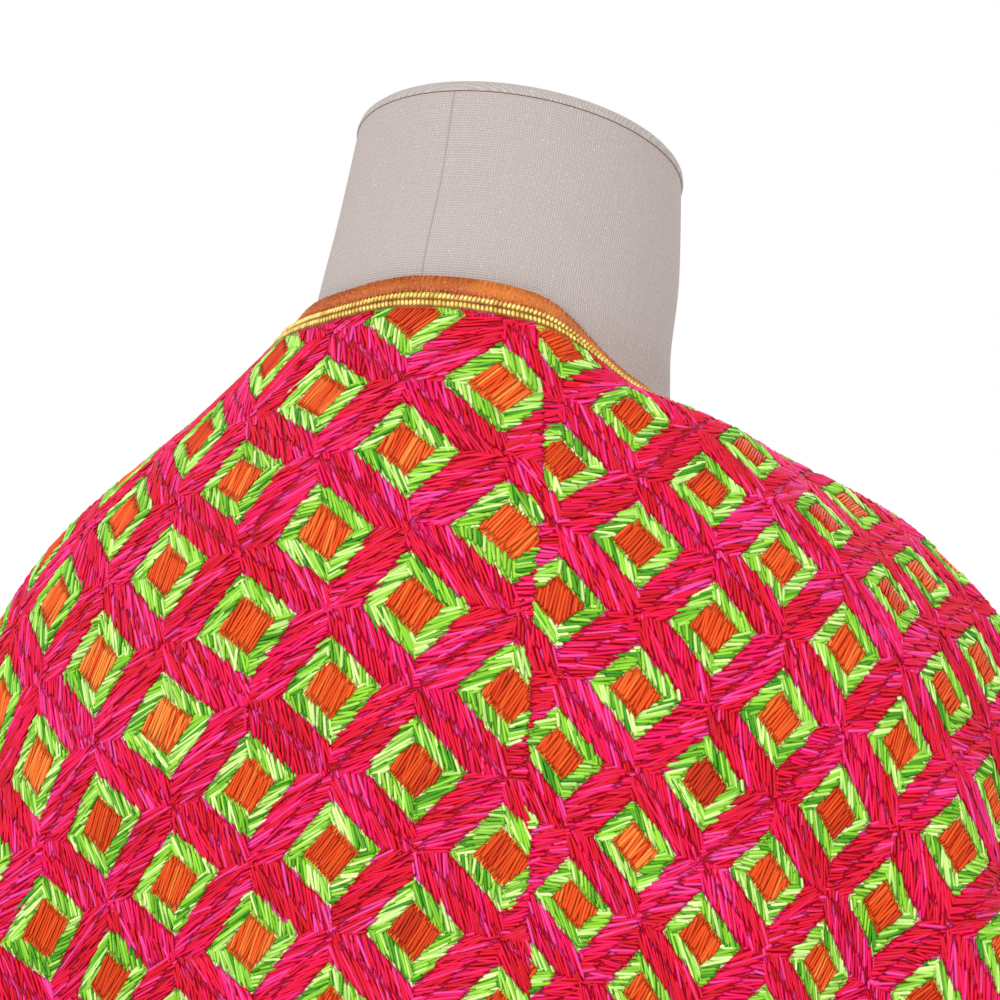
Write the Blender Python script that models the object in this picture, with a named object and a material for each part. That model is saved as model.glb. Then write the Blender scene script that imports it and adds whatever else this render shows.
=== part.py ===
# Phulkari shawl draped over the shoulders of a limbless dress form on a round foot.
# Metres, +Z up. Origin at the middle of the foot's underside. The form faces -Y, its left side is +X.

import bpy
import bmesh
import numpy as np
from math import pi, radians, sin, cos

# Shawl, as cut
SHAWL_LENGTH = 2.20
SHAWL_WIDTH = 0.90
CLOTH_THICK = 0.0016
BRAID_WIDTH = 0.0055
BRAID_THICK = 0.0010
EDGING_WIDTH = 0.0065
EDGING_THICK = 0.0012
SEAM_GAP = 0.0003
EDGING_GAP = 0.0006
BRAID_MITRE = 0.0005      # gap between the mitred ends of the braids at the corners
RAYS_PER_FOLD = 8
ROWS_DOWN = 22
ROW_GROWTH = 1.25         # rows are closer together at the top

# How the shawl is held
APEX_ABOVE_EDGE = 0.134   # flat distance from the top edge up to the point that the rays of the drape meet in
RING_HELD = 0.31          # flat radius of the ring that lies smooth on the shoulders
RING_BACK = 0.46          # flat radius down to which the middle of the back has no spare cloth
BACK_SPREAD = 0.45        # half angle of that smooth middle
RAY_ANGLE_END = float(np.arctan2(SHAWL_LENGTH / 2, APEX_ABOVE_EDGE))
FOLD_SCALE = 0.74
FULLNESS_HELD = 1.25      # the cloth takes up this much spare without folding
FOLD_START = 0.12         # the folds grow over this distance from the edge
HEM_FLARE = 0.065
FLARE_FROM, FLARE_TO = 0.32, 1.10
SIDE_FROM_ANGLE = 0.8     # beyond this angle the rays come down closer together, towards the front edge
SIDEWAYS_FULL_ANGLE = 0.7 # from this angle on a ray goes straight out over the shoulder
NEAR_REACH = 0.17         # the rays have come down to the hanging section after about this much cloth
FALL_STARTS, FALL_ENDS = 0.45, 1.55   # share of that way on which a ray turns from its lean to the vertical
LEAST_ROOM = 0.05
FOLD_ONSET = 0.5          # softens how fast the folds deepen with the spare cloth
SOFT_EDGE = 60            # degrees: edges flatter than this are shaded smooth

# Section of the hanging cloth below the shoulders
SECTION_HALF_WIDTH = 0.200
SECTION_HALF_DEPTH = 0.112
SECTION_CENTRE_Y = -0.005
SECTION_SQUARE = 2.25

# The long top edge from the nape round one side of the neck and down the front
EDGE_COLUMNS = ("x", "y", "z_left", "z_right")
EDGE_ROWS = [
    (0.000, 0.0600, 1.420, 1.420),
    (0.034, 0.0540, 1.416, 1.414),
    (0.060, 0.0290, 1.405, 1.396),
    (0.077, -0.004, 1.397, 1.378),
    (0.106, -0.048, 1.385, 1.356),
    (0.130, -0.086, 1.345, 1.312),
    (0.135, -0.106, 1.270, 1.240),
    (0.131, -0.115, 1.100, 1.080),
    (0.126, -0.1175, 0.200, 0.200),
]

# How far each ray leans from the vertical where it leaves the edge
LEAN_COLUMNS = ("angle", "degrees")
LEAN_ROWS = [(0.00, 31), (0.35, 40), (0.65, 52), (0.90, 50), (1.15, 26), (1.30, 15), (RAY_ANGLE_END, 7)]

# Fold crests on one side, by the angle of their ray, with their share of the full depth
CREST_COLUMNS = ("left_angle", "right_angle", "left_size", "right_size")
CREST_ROWS = [
    (0.17, 0.13, 0.80, 0.85),
    (0.41, 0.37, 1.05, 0.90),
    (0.65, 0.62, 0.90, 1.10),
    (0.88, 0.86, 1.10, 0.90),
    (1.10, 1.07, 0.90, 1.05),
    (1.31, 1.29, 1.00, 0.85),
]

# Dress form, from the top of the neck down: z, y, half width, half depth, tilt in degrees, squareness
FORM_ROWS = [
    (1.4620, -0.0326, 0.0525, 0.0525, 26, 2.0),
    (1.4290, -0.0165, 0.0570, 0.0570, 26, 2.0),
    (1.3990, -0.0020, 0.0605, 0.0605, 25, 2.0),
    (1.3720, 0.0000, 0.0670, 0.0630, 16, 2.0),
    (1.3480, -0.0010, 0.0960, 0.0700, 8, 2.1),
    (1.3250, -0.0020, 0.1384, 0.0810, 3, 2.3),
    (1.2950, -0.0030, 0.1686, 0.0900, 0, 2.25),
    (1.2500, -0.0040, 0.1800, 0.0960, 0, 2.3),
    (1.1700, -0.0050, 0.1740, 0.1000, 0, 2.3),
    (1.0800, -0.0070, 0.1560, 0.0960, 0, 2.2),
    (0.9800, -0.0050, 0.1300, 0.0840, 0, 2.1),
    (0.8900, -0.0030, 0.1460, 0.0920, 0, 2.2),
    (0.8000, -0.0030, 0.1640, 0.1000, 0, 2.3),
    (0.7400, -0.0030, 0.1640, 0.1000, 0, 2.3),
]
FORM_SIDES = 40
NECK_CAP_THICK = 0.004
NECK_CAP_OVERHANG = 0.0006
BASE_CAP_THICK = 0.012
POLE_RADIUS = 0.0125
FOOT_RADIUS = 0.160
FOOT_THICK = 0.014
FOOT_BEVEL = 0.004
SOCKET_RADIUS = 0.026
SOCKET_HEIGHT = 0.030


def column(rows, columns, name):
    return np.array([row[columns.index(name)] for row in rows], float)


def smooth(x):
    x = np.clip(x, 0, 1)
    return x * x * (3 - 2 * x)


def through(xs, ys, x):
    """A smooth curve through the points xs, ys, read at x."""
    slope = np.gradient(ys, xs)
    i = np.clip(np.searchsorted(xs, x) - 1, 0, len(xs) - 2)
    h = xs[i + 1] - xs[i]
    u = (x - xs[i]) / h
    return ((2 * u**3 - 3 * u**2 + 1) * ys[i] + (u**3 - 2 * u**2 + u) * h * slope[i]
            + (3 * u**2 - 2 * u**3) * ys[i + 1] + (u**3 - u**2) * h * slope[i + 1])


def lengths_along(points):
    steps = np.linalg.norm(np.diff(points, axis=0), axis=1)
    return np.concatenate([[0], np.cumsum(steps)])


def read_curve(curve, at):
    lengths, points = curve
    return np.stack([np.interp(at, lengths, points[:, k]) for k in range(points.shape[1])], -1)


def edge_curve(height):
    """The top edge on one side, by its true length from the nape."""
    rows = np.stack([column(EDGE_ROWS, EDGE_COLUMNS, name) for name in ("x", "y", height)], 1)
    coarse = lengths_along(rows)
    fine = np.linspace(0, coarse[-1], 800)
    points = np.stack([through(coarse, rows[:, k], fine) for k in range(3)], 1)
    return lengths_along(points), points


def section_curve():
    """Half of the hanging section, from the middle of the back round to the front."""
    a = np.linspace(0, pi, 721)
    power = 2 / SECTION_SQUARE
    x = SECTION_HALF_WIDTH * np.abs(np.sin(a)) ** power
    y = SECTION_CENTRE_Y + SECTION_HALF_DEPTH * np.sign(np.cos(a)) * np.abs(np.cos(a)) ** power
    points = np.stack([x, y], 1)
    return lengths_along(points), points


SECTION = section_curve()
FRONT_END = np.array([EDGE_ROWS[-1][0], EDGE_ROWS[-1][1]])
SECTION_END = SECTION[0][np.argmin(np.linalg.norm(SECTION[1] - FRONT_END, axis=1))]


def section_normal(arc):
    reach = 0.004
    ahead = read_curve(SECTION, np.clip(arc + reach, 0, SECTION[0][-1]))
    behind = read_curve(SECTION, np.clip(arc - reach, 0, SECTION[0][-1]))
    along = ahead - behind
    along = along / np.linalg.norm(along, axis=-1, keepdims=True)
    return np.stack([-along[..., 1], along[..., 0]], -1)


def section_arc(angle, radius):
    """Where on the hanging section the ray at this angle comes down."""
    spare_end = RING_HELD * RAY_ANGLE_END - SECTION_END
    drawn_in = spare_end * smooth((angle - SIDE_FROM_ANGLE) / (RAY_ANGLE_END - SIDE_FROM_ANGLE))
    held = RING_HELD * angle - drawn_in
    back = np.clip(radius, RING_HELD, RING_BACK) - RING_HELD
    return held + back * angle * np.exp(-(angle / BACK_SPREAD) ** 2)


def fall_share(reach, distance, lean):
    """Share of the way out from the edge to the hanging line, after this much cloth."""
    speed = np.sin(lean)
    middle = np.maximum(distance, 1e-4) / speed
    first, last = FALL_STARTS * middle, FALL_ENDS * middle
    u = np.clip((reach - first) / (last - first), 0, 1)
    run = np.minimum(reach, first) + (last - first) * (u - u**3 + u**4 / 2)
    return np.clip(run * speed / np.maximum(distance, 1e-4), 0, 1)


def plan_of(side, angle, reach):
    start = APEX_ABOVE_EDGE / np.cos(angle)
    radius = start + reach
    edge = read_curve(side["edge"], APEX_ABOVE_EDGE * np.tan(angle))
    arc = section_arc(angle, radius)
    foot = read_curve(SECTION, arc)
    near = read_curve(SECTION, section_arc(angle, start + NEAR_REACH))
    distance = np.hypot(near[..., 0] - edge[..., 0], near[..., 1] - edge[..., 1])
    lean = np.radians(np.interp(angle, column(LEAN_ROWS, LEAN_COLUMNS, "angle"),
                                column(LEAN_ROWS, LEAN_COLUMNS, "degrees")))
    share = fall_share(reach, distance, lean)
    sideways = smooth(angle / SIDEWAYS_FULL_ANGLE)
    even = np.clip((radius - APEX_ABOVE_EDGE) / (RING_HELD - APEX_ABOVE_EDGE), 0, 1)
    share_x = (1 - sideways) * even + sideways * share
    x = edge[..., 0] + share_x * (foot[..., 0] - edge[..., 0])
    y = edge[..., 1] + share * (foot[..., 1] - edge[..., 1])
    return x, y, edge[..., 2], share, arc


RAY_ANGLES = np.linspace(0, RAY_ANGLE_END, 161)
REACH_STEP = 0.005
REACHES = np.arange(0, 1.42, REACH_STEP)
STEEPEST = 0.25           # least share of each step that goes down


def drop_table(side):
    """How far each ray has come down after each step, from the cloth's own length."""
    angle, reach = np.meshgrid(RAY_ANGLES, REACHES, indexing="ij")
    x, y, _, _, _ = plan_of(side, angle, reach)
    out = np.hypot(np.diff(x, axis=1), np.diff(y, axis=1))
    down = np.sqrt(np.maximum(REACH_STEP**2 - out**2, (STEEPEST * REACH_STEP) ** 2))
    return np.concatenate([np.zeros((len(RAY_ANGLES), 1)), np.cumsum(down, axis=1)], axis=1)


def drop_at(side, angle, reach):
    i = np.clip(angle / RAY_ANGLES[1], 0, len(RAY_ANGLES) - 1.001)
    j = np.clip(reach / REACH_STEP, 0, len(REACHES) - 1.001)
    i0, j0 = i.astype(int), j.astype(int)
    a, b = i - i0, j - j0
    table = side["drop"]
    return ((1 - a) * (1 - b) * table[i0, j0] + a * (1 - b) * table[i0 + 1, j0]
            + (1 - a) * b * table[i0, j0 + 1] + a * b * table[i0 + 1, j0 + 1])


def make_side(name):
    side = {"edge": edge_curve("z_" + name)}
    crests = column(CREST_ROWS, CREST_COLUMNS, name + "_angle")
    sizes = column(CREST_ROWS, CREST_COLUMNS, name + "_size")
    side["crests"] = np.concatenate([[-crests[0]], crests, [2 * RAY_ANGLE_END - crests[-1]]])
    side["sizes"] = np.concatenate([[sizes[0]], sizes, [sizes[-1]]])
    side["drop"] = drop_table(side)
    return side


def fold_wave(side, angle):
    """1 on a crest and 0 in a valley, with the spacing of the crests there."""
    crests = side["crests"]
    i = np.clip(np.searchsorted(crests, angle) - 1, 0, len(crests) - 2)
    u = (angle - crests[i]) / (crests[i + 1] - crests[i])
    spacing = np.gradient(crests)
    size, span = (row[i] * (1 - smooth(u)) + row[i + 1] * smooth(u) for row in (side["sizes"], spacing))
    return (0.5 + 0.5 * np.cos(2 * pi * u)) * size, span


def cloth_points(side, s, t):
    """The draped place of flat points: s from the nape along the top edge, t down from it."""
    angle = np.arctan2(s, t + APEX_ABOVE_EDGE)
    radius = np.hypot(s, t + APEX_ABOVE_EDGE)
    reach = radius - APEX_ABOVE_EDGE / np.cos(angle)
    x, y, z, share, arc = plan_of(side, angle, reach)
    z = z - drop_at(side, angle, reach)
    wave, span = fold_wave(side, angle)
    near = 0.01
    low = np.maximum(angle - near, 0)
    room = (section_arc(angle + near, radius) - section_arc(low, radius)) / (angle + near - low)
    flare = HEM_FLARE * smooth((radius - FLARE_FROM) / (FLARE_TO - FLARE_FROM))
    room = np.maximum(room, LEAST_ROOM) * (1 + pi * flare / SECTION[0][-1])
    spare = np.maximum((radius / room) ** 2 - FULLNESS_HELD, 0)
    depth = FOLD_SCALE * span * room / pi * np.sqrt(2) * spare / np.sqrt(spare + FOLD_ONSET)
    push = (depth * wave + flare) * smooth(share) * smooth(t / FOLD_START)
    out = section_normal(arc)
    return np.stack([x + push * out[..., 0], y + push * out[..., 1], z], -1)


LEFT = make_side("left")
RIGHT = make_side("right")


def drape(s, t):
    s, t = np.broadcast_arrays(np.asarray(s, float), np.asarray(t, float))
    left = cloth_points(LEFT, np.abs(s), t)
    right = cloth_points(RIGHT, np.abs(s), t) * np.array([-1.0, 1.0, 1.0])
    return np.where((s >= 0)[..., None], left, right)


def layer_normals(points, faces):
    """Outward direction at each point of a sheet, from the faces round it by their corner's angle."""
    normals = np.zeros_like(points)
    for a, b, c in faces:
        face = np.cross(points[b] - points[a], points[c] - points[a])
        face /= np.linalg.norm(face)
        for corner, one, other in ((a, b, c), (b, c, a), (c, a, b)):
            u, v = points[one] - points[corner], points[other] - points[corner]
            angle = np.arccos(np.clip(u @ v / np.linalg.norm(u) / np.linalg.norm(v), -1, 1))
            normals[corner] += angle * face
    normals /= np.linalg.norm(normals, axis=1, keepdims=True)
    return normals if normals[:, 1] @ points[:, 1] > 0 else -normals


# The field inside the braids is cut into rays that run down the folds
FIELD_TOP = BRAID_WIDTH
FIELD_BOTTOM = SHAWL_WIDTH - BRAID_WIDTH
FIELD_END = SHAWL_LENGTH / 2 - BRAID_WIDTH
CORNER_TOP = float(np.arctan2(FIELD_END, APEX_ABOVE_EDGE + FIELD_TOP))
CORNER_BOTTOM = float(np.arctan2(FIELD_END, APEX_ABOVE_EDGE + FIELD_BOTTOM))


def ray_stations(side):
    """Angles of the rays on one side: a few to each fold, one of them through the lower corner."""
    crests = side["crests"][1:-1]
    marks = np.concatenate([[0], crests, [CORNER_TOP]])
    angles = [0.0]
    for k, (low, high) in enumerate(zip(marks, marks[1:])):
        steps = RAYS_PER_FOLD // 2 if k in (0, len(marks) - 2) else RAYS_PER_FOLD
        angles += list(low + (high - low) * (np.arange(steps) + 1) / steps)
    angles = np.array(angles)
    angles[np.argmin(np.abs(angles - CORNER_BOTTOM))] = CORNER_BOTTOM
    return angles


def flat_net():
    """Flat points, faces and border of the shawl; the border runs in step inside and outside the braids."""
    points, faces = [], []
    columns = []
    angles = np.concatenate([-ray_stations(RIGHT)[:0:-1], ray_stations(LEFT)])
    rows = np.linspace(0, 1, ROWS_DOWN + 1) ** ROW_GROWTH
    for angle in angles:
        first = (APEX_ABOVE_EDGE + FIELD_TOP) / cos(angle)
        last = (APEX_ABOVE_EDGE + FIELD_BOTTOM) / cos(angle)
        if abs(angle) > CORNER_BOTTOM:
            last = FIELD_END / abs(sin(angle))
        if abs(angle) == CORNER_TOP:
            columns.append([len(points)] * len(rows))
            points.append((np.sign(angle) * FIELD_END, FIELD_TOP))
            continue
        columns.append([len(points) + k for k in range(len(rows))])
        for radius in first + (last - first) * rows:
            points.append((radius * sin(angle), radius * cos(angle) - APEX_ABOVE_EDGE))
    for left, right in zip(columns, columns[1:]):
        for j in range(len(rows) - 1):
            # both layers of the wall are cut along the same diagonal
            for face in ((left[j], right[j], right[j + 1]), (left[j], right[j + 1], left[j + 1])):
                if len(set(face)) == 3:
                    faces.append(face)
    corner = [i for i, angle in enumerate(angles) if abs(angle) == CORNER_BOTTOM]
    sides = {
        "neck": [c[0] for c in columns],
        "end_left": [c[-1] for c in columns[:corner[1] - 1:-1]],
        "hem": [c[-1] for c in columns[corner[1]:corner[0] - 1:-1]],
        "end_right": [c[-1] for c in columns[corner[0]::-1]],
    }
    # every border point has its outer partner, straight out or out at the corner
    outer, border = {}, []
    for name, chain in sides.items():
        for k in chain:
            if k not in outer:
                s, t = points[k]
                at_end = abs(abs(s) - FIELD_END) < 1e-6
                s_out = np.sign(s) * SHAWL_LENGTH / 2 if at_end else s
                t_out = 0.0 if abs(t - FIELD_TOP) < 1e-6 else t
                t_out = SHAWL_WIDTH if abs(t - FIELD_BOTTOM) < 1e-6 else t_out
                outer[k] = len(points)
                points.append((s_out, t_out))
                border.append(outer[k])
        for a, b in zip(chain, chain[1:]):
            faces += [(a, outer[a], outer[b]), (a, outer[b], b)]
    pairs = {name: [(k, outer[k]) for k in chain] for name, chain in sides.items()}
    return np.array(points), faces, border, pairs


def clear_scene():
    for thing in list(bpy.data.objects):
        bpy.data.objects.remove(thing, do_unlink=True)


def material(name, color, roughness, metallic=0.0):
    mat = bpy.data.materials.new(name)
    mat.use_nodes = True
    shader = mat.node_tree.nodes["Principled BSDF"]
    shader.inputs["Base Color"].default_value = (*color, 1)
    shader.inputs["Roughness"].default_value = roughness
    shader.inputs["Metallic"].default_value = metallic
    return mat


def add_object(name, mesh, mat, place=(0, 0, 0)):
    thing = bpy.data.objects.new(name, mesh)
    thing.location = place
    mesh.materials.append(mat)
    bpy.context.scene.collection.objects.link(thing)
    return thing


def wall(name, inner, outer, faces, border, mat):
    """A closed wall between two layers of points with the same faces; border is the loop round its rim."""
    mesh = bpy.data.meshes.new(name)
    work = bmesh.new()
    low = [work.verts.new(p) for p in inner]
    high = [work.verts.new(p) for p in outer]
    for face in faces:
        work.faces.new([high[k] for k in face])
        work.faces.new([low[k] for k in reversed(face)])
    for a, b in zip(border, border[1:] + border[:1]):
        work.faces.new((low[a], low[b], high[b], high[a]))
    bmesh.ops.triangulate(work, faces=work.faces[:])
    bmesh.ops.recalc_face_normals(work, faces=work.faces[:])
    if work.calc_volume(signed=True) < 0:
        bmesh.ops.reverse_faces(work, faces=work.faces[:])
    work.to_mesh(mesh)
    work.free()
    mesh.shade_smooth()
    mesh.set_sharp_from_angle(angle=radians(SOFT_EDGE))
    return add_object(name, mesh, mat)


def strip(name, near, far, near_lift, far_lift, mat):
    """A flat strip between two rows of points, each thickened by its own lift."""
    count = len(near)
    points = np.concatenate([near, far])
    faces = []
    for k in range(count - 1):
        faces += [(k, k + 1, count + k + 1), (k, count + k + 1, count + k)]
    border = list(range(count)) + list(range(2 * count - 1, count - 1, -1))
    wall(name, points, points + np.concatenate([near_lift, far_lift]), faces, border, mat)


def pulled_in(row, gap):
    """The row with both of its ends drawn in by gap."""
    row = row.copy()
    for end, inside in ((0, 1), (-1, -2)):
        step = row[inside] - row[end]
        row[end] += gap * step / np.linalg.norm(step)
    return row


def shawl():
    flat, faces, border, sides = flat_net()
    inner = drape(flat[:, 0], flat[:, 1])
    normal = layer_normals(inner, faces)
    cloth = material("phulkari_field", (0.70, 0.03, 0.06), 0.55)
    gold = material("gold_braid", (0.72, 0.50, 0.12), 0.45, 0.2)
    copper = material("copper_thread", (0.42, 0.15, 0.04), 0.55)
    wall("shawl_panel", inner, inner + CLOTH_THICK * normal, faces, border, cloth)

    for name, pairs in sides.items():
        inside = [a for a, _ in pairs]
        outside = [b for _, b in pairs]
        # the braid lies on the panel, on its own points moved out
        low = inner + (CLOTH_THICK + SEAM_GAP) * normal
        near, far = low[inside], low[outside]
        if name.startswith("end"):
            near, far = pulled_in(near, BRAID_MITRE), pulled_in(far, BRAID_MITRE)
        strip("braid_" + name, near, far, BRAID_THICK * normal[inside], BRAID_THICK * normal[outside], gold)
        # the edging stands out beyond the cloth's edge, in line with it
        middle = inner + 0.5 * (CLOTH_THICK - EDGING_THICK) * normal
        away = middle[outside] - middle[inside]
        away[0], away[-1] = away[1], away[-2]
        away /= np.linalg.norm(away, axis=-1, keepdims=True)
        near = middle[outside] + EDGING_GAP * away
        far = near + EDGING_WIDTH * away
        lift = EDGING_THICK * normal[outside]
        strip("edging_" + name, near, far, lift, lift, copper)


def ring_points(z, y, half_width, half_depth, tilt, square):
    a = np.linspace(0, 2 * pi, FORM_SIDES, endpoint=False)
    power = 2 / square
    x = half_width * np.sign(np.sin(a)) * np.abs(np.sin(a)) ** power
    back = half_depth * np.sign(np.cos(a)) * np.abs(np.cos(a)) ** power
    turn = radians(tilt)
    return np.stack([x, y + back * cos(turn), z + back * sin(turn)], 1)


def form_torso(linen):
    mesh = bpy.data.meshes.new("form_torso")
    work = bmesh.new()
    rings = [[work.verts.new(p) for p in ring_points(*row)] for row in FORM_ROWS]
    for upper, lower in zip(rings, rings[1:]):
        for k in range(FORM_SIDES):
            n = (k + 1) % FORM_SIDES
            work.faces.new((upper[k], lower[k], lower[n], upper[n]))
    work.faces.new(rings[0])
    work.faces.new(rings[-1][::-1])
    bmesh.ops.recalc_face_normals(work, faces=work.faces[:])
    work.to_mesh(mesh)
    work.free()
    mesh.shade_smooth()
    mesh.set_sharp_from_angle(angle=radians(50))
    return add_object("form_torso", mesh, linen)


def disc_between(name, low, high, mat):
    """A closed disc between two rings of points."""
    mesh = bpy.data.meshes.new(name)
    work = bmesh.new()
    bottom = [work.verts.new(p) for p in low]
    top = [work.verts.new(p) for p in high]
    count = len(bottom)
    for k in range(count):
        n = (k + 1) % count
        work.faces.new((bottom[k], bottom[n], top[n], top[k]))
    work.faces.new(top)
    work.faces.new(bottom[::-1])
    bmesh.ops.recalc_face_normals(work, faces=work.faces[:])
    work.to_mesh(mesh)
    work.free()
    mesh.shade_smooth()
    mesh.set_sharp_from_angle(angle=radians(40))
    return add_object(name, mesh, mat)


def form_caps(linen, wood):
    z, y, half_width, half_depth, tilt, square = FORM_ROWS[0]
    axis = np.array([0, -sin(radians(tilt)), cos(radians(tilt))])
    wide = ring_points(z, y, half_width + NECK_CAP_OVERHANG, half_depth + NECK_CAP_OVERHANG, tilt, square)
    low = wide + SEAM_GAP * axis
    disc_between("form_neck_cap", low, low + NECK_CAP_THICK * axis, linen)
    bottom = ring_points(*FORM_ROWS[-1])
    down = np.array([0, 0, -1.0])
    disc_between("form_base_cap", bottom + (SEAM_GAP + BASE_CAP_THICK) * down, bottom + SEAM_GAP * down, wood)


def turned(name, profile, mat, sides=40):
    """A closed turned piece about +Z from (radius, height) rows, top to bottom."""
    mesh = bpy.data.meshes.new(name)
    work = bmesh.new()
    rings = []
    for radius, height in profile:
        turn = np.linspace(0, 2 * pi, sides, endpoint=False)
        rings.append([work.verts.new((radius * cos(a), radius * sin(a), height)) for a in turn])
    for upper, lower in zip(rings, rings[1:]):
        for k in range(sides):
            n = (k + 1) % sides
            work.faces.new((upper[k], lower[k], lower[n], upper[n]))
    work.faces.new(rings[0])
    work.faces.new(rings[-1][::-1])
    bmesh.ops.recalc_face_normals(work, faces=work.faces[:])
    work.to_mesh(mesh)
    work.free()
    mesh.shade_smooth()
    mesh.set_sharp_from_angle(angle=radians(40))
    return add_object(name, mesh, mat)


def stand(metal):
    foot_top = FOOT_THICK
    turned("stand_foot", [
        (POLE_RADIUS + 0.004, foot_top + SOCKET_HEIGHT),
        (SOCKET_RADIUS - 0.006, foot_top + SOCKET_HEIGHT - 0.003),
        (SOCKET_RADIUS, foot_top + 0.004),
        (SOCKET_RADIUS + 0.006, foot_top),
        (FOOT_RADIUS - FOOT_BEVEL, foot_top),
        (FOOT_RADIUS, foot_top - FOOT_BEVEL),
        (FOOT_RADIUS, 0.0),
    ], metal)
    pole_low = foot_top + SOCKET_HEIGHT + SEAM_GAP
    pole_high = FORM_ROWS[-1][0] - BASE_CAP_THICK - 2 * SEAM_GAP
    turned("stand_pole", [(POLE_RADIUS, pole_high), (POLE_RADIUS, pole_low)], metal, sides=24)


def build():
    clear_scene()
    linen = material("form_linen", (0.60, 0.54, 0.51), 0.85)
    wood = material("base_wood", (0.30, 0.19, 0.11), 0.5)
    metal = material("stand_metal", (0.05, 0.05, 0.05), 0.4, 0.6)
    shawl()
    form_torso(linen)
    form_caps(linen, wood)
    stand(metal)


build()
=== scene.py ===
from math import cos, pi, radians, sin

import bmesh
import bpy
import numpy as np
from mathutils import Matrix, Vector


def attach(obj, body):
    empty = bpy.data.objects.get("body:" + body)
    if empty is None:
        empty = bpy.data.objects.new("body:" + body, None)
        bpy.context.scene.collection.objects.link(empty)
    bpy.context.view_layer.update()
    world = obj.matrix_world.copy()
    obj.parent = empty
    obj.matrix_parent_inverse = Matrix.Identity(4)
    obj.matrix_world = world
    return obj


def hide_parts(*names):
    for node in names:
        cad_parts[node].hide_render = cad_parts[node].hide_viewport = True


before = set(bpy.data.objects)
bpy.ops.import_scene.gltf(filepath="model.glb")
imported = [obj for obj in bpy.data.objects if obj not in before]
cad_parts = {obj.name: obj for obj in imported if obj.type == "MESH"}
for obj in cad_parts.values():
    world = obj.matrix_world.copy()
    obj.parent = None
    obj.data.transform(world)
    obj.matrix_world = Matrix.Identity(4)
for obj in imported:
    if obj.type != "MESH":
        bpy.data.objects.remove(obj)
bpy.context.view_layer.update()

print("frame loaded")

# The shawl as cut, and the way it hangs. Flat places are s from the nape along the long top edge
# (left is positive) and t down from that edge. Metres throughout.
cut = {
    "length": 2.20, "width": 0.90, "thick": 0.0016, "apex": 0.134,
    "held": 0.31, "backHeld": 0.46, "backSpread": 0.45,
    "foldScale": 0.74, "fullnessHeld": 1.25, "foldStart": 0.12,
    "flare": 0.065, "flareFrom": 0.32, "flareTo": 1.10, "braid": 0.0060, "edging": 0.0072,
}
roll = {"from": 0.30, "to": 1.05, "soft": 0.25, "drop": 0.010, "dropWide": 0.035,
        "rise": 0.007, "riseFrom": 0.05, "riseWide": 0.12}
section = {"halfWidth": 0.200, "halfDepth": 0.112, "centreY": -0.005, "square": 2.25}
angleEnd = float(np.arctan2(cut["length"] / 2, cut["apex"]))

# x, y, height on the left, height on the right
edgeRows = np.array([
    (0.000, 0.0600, 1.4136, 1.4136), (0.034, 0.0540, 1.4080, 1.4092), (0.060, 0.0290, 1.4020, 1.3945),
    (0.077, -0.004, 1.397, 1.378), (0.106, -0.048, 1.385, 1.356), (0.130, -0.086, 1.345, 1.312),
    (0.135, -0.106, 1.270, 1.240), (0.131, -0.115, 1.100, 1.080), (0.126, -0.1175, 0.200, 0.200),
])
# angle of the ray, lean from the vertical in degrees
leanRows = np.array([
    (0.00, 31), (0.35, 40), (0.65, 52), (0.90, 50), (1.15, 26), (1.30, 15), (angleEnd, 7),
])
# crest angle left, right, size left, right
crestRows = np.array([
    (0.17, 0.13, 0.80, 0.85), (0.41, 0.37, 1.05, 0.90), (0.65, 0.62, 0.90, 1.10),
    (0.88, 0.86, 1.10, 0.90), (1.10, 1.07, 0.90, 1.05), (1.31, 1.29, 1.00, 0.85),
])


def smooth(x):
    x = np.clip(x, 0, 1)
    return x * x * (3 - 2 * x)


def through(xs, ys, x, level=False):
    slope = np.gradient(ys, xs)
    if level:
        slope[0] = 0
    i = np.clip(np.searchsorted(xs, x) - 1, 0, len(xs) - 2)
    h = xs[i + 1] - xs[i]
    u = (x - xs[i]) / h
    return ((2 * u**3 - 3 * u**2 + 1) * ys[i] + (u**3 - 2 * u**2 + u) * h * slope[i]
            + (3 * u**2 - 2 * u**3) * ys[i + 1] + (u**3 - u**2) * h * slope[i + 1])


def lengthsAlong(points):
    return np.concatenate([[0], np.cumsum(np.linalg.norm(np.diff(points, axis=0), axis=1))])


def readCurve(curve, at):
    lengths, points = curve
    return np.stack([np.interp(at, lengths, points[:, k]) for k in range(points.shape[1])], -1)


def edgeCurve(heightColumn):
    rows = edgeRows[:, [0, 1, heightColumn]]
    coarse = lengthsAlong(rows)
    fine = np.linspace(0, coarse[-1], 800)
    points = np.stack([through(coarse, rows[:, k], fine, k > 0) for k in range(3)], 1)
    return lengthsAlong(points), points


def sectionCurve():
    a = np.linspace(0, pi, 721)
    power = 2 / section["square"]
    x = section["halfWidth"] * np.abs(np.sin(a)) ** power
    y = section["centreY"] + section["halfDepth"] * np.sign(np.cos(a)) * np.abs(np.cos(a)) ** power
    points = np.stack([x, y], 1)
    return lengthsAlong(points), points


hanging = sectionCurve()
hangingEnd = hanging[0][np.argmin(np.linalg.norm(hanging[1] - edgeRows[-1, :2], axis=1))]


def sectionNormal(arc):
    ahead = readCurve(hanging, np.clip(arc + 0.004, 0, hanging[0][-1]))
    behind = readCurve(hanging, np.clip(arc - 0.004, 0, hanging[0][-1]))
    along = ahead - behind
    along = along / np.linalg.norm(along, axis=-1, keepdims=True)
    return np.stack([-along[..., 1], along[..., 0]], -1)


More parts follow.
